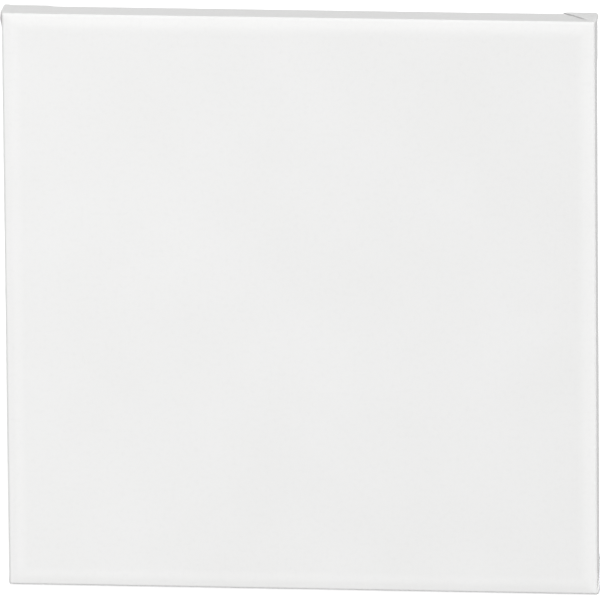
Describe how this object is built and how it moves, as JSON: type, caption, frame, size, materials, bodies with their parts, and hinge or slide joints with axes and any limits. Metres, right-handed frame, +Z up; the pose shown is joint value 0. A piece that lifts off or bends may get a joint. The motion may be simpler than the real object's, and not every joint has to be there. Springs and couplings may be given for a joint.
{
  "type": "stretched canvas",
  "caption": "Square white primed cotton canvas wrapped over four mitred pine stretcher bars with wedge keys in the corners and staples behind.",
  "frame": {"origin": "middle of the bottom of the whole object's box", "axes": "+X to the right and +Z up as seen from the front, +Y from the painting face towards the back; the painting face looks along -Y"},
  "size_m": [0.3, 0.019, 0.3],
  "materials": {
    "primed_cotton": "matte white acrylic gesso over plain-weave cotton",
    "pine": "bare planed pine",
    "beech": "bare sawn beech",
    "zinc_wire": "zinc-plated flat wire"
  },
  "bodies": {
    "canvas": {"canvas_sheet": "primed_cotton"},
    "bar_top": {"stretcher_bar_top": "pine", "staples_top": "zinc_wire"},
    "bar_right": {"stretcher_bar_right": "pine", "staples_right": "zinc_wire"},
    "bar_bottom": {"stretcher_bar_bottom": "pine", "staples_bottom": "zinc_wire"},
    "bar_left": {"stretcher_bar_left": "pine", "staples_left": "zinc_wire"},
    "key_top_left_vertical": {"key_top_left_vertical": "beech"},
    "key_top_left_horizontal": {"key_top_left_horizontal": "beech"},
    "key_top_right_vertical": {"key_top_right_vertical": "beech"},
    "key_top_right_horizontal": {"key_top_right_horizontal": "beech"},
    "key_bottom_left_vertical": {"key_bottom_left_vertical": "beech"},
    "key_bottom_left_horizontal": {"key_bottom_left_horizontal": "beech"},
    "key_bottom_right_vertical": {"key_bottom_right_vertical": "beech"},
    "key_bottom_right_horizontal": {"key_bottom_right_horizontal": "beech"}
  },
  "joints": [
    {"name": "top_bar_spread", "type": "slide", "parent": "canvas", "child": "bar_top", "axis": [0, 0, 1], "range_m": [0, 0.0005], "deforming": ["canvas_sheet"]},
    {"name": "right_bar_spread", "type": "slide", "parent": "canvas", "child": "bar_right", "axis": [1, 0, 0], "range_m": [0, 0.0005]},
    {"name": "bottom_bar_spread", "type": "slide", "parent": "canvas", "child": "bar_bottom", "axis": [0, 0, -1], "range_m": [0, 0.0005]},
    {"name": "left_bar_spread", "type": "slide", "parent": "canvas", "child": "bar_left", "axis": [-1, 0, 0], "range_m": [0, 0.0005]},
    {"name": "key_top_left_vertical_slide", "type": "slide", "parent": "bar_left", "child": "key_top_left_vertical", "axis": [0, 0, -1], "range_m": [0, 0.02]},
    {"name": "key_top_left_horizontal_slide", "type": "slide", "parent": "bar_top", "child": "key_top_left_horizontal", "axis": [1, 0, 0], "range_m": [0, 0.02]},
    {"name": "key_top_right_vertical_slide", "type": "slide", "parent": "bar_right", "child": "key_top_right_vertical", "axis": [0, 0, -1], "range_m": [0, 0.02]},
    {"name": "key_top_right_horizontal_slide", "type": "slide", "parent": "bar_top", "child": "key_top_right_horizontal", "axis": [-1, 0, 0], "range_m": [0, 0.02]},
    {"name": "key_bottom_left_vertical_slide", "type": "slide", "parent": "bar_left", "child": "key_bottom_left_vertical", "axis": [0, 0, 1], "range_m": [0, 0.02]},
    {"name": "key_bottom_left_horizontal_slide", "type": "slide", "parent": "bar_bottom", "child": "key_bottom_left_horizontal", "axis": [1, 0, 0], "range_m": [0, 0.02]},
    {"name": "key_bottom_right_vertical_slide", "type": "slide", "parent": "bar_right", "child": "key_bottom_right_vertical", "axis": [0, 0, 1], "range_m": [0, 0.02]},
    {"name": "key_bottom_right_horizontal_slide", "type": "slide", "parent": "bar_bottom", "child": "key_bottom_right_horizontal", "axis": [-1, 0, 0], "range_m": [0, 0.02]}
  ],
  "couplings": [
    {"joint": "right_bar_spread", "follows": "top_bar_spread", "ratio": 1},
    {"joint": "bottom_bar_spread", "follows": "top_bar_spread", "ratio": 1},
    {"joint": "left_bar_spread", "follows": "top_bar_spread", "ratio": 1}
  ]
}
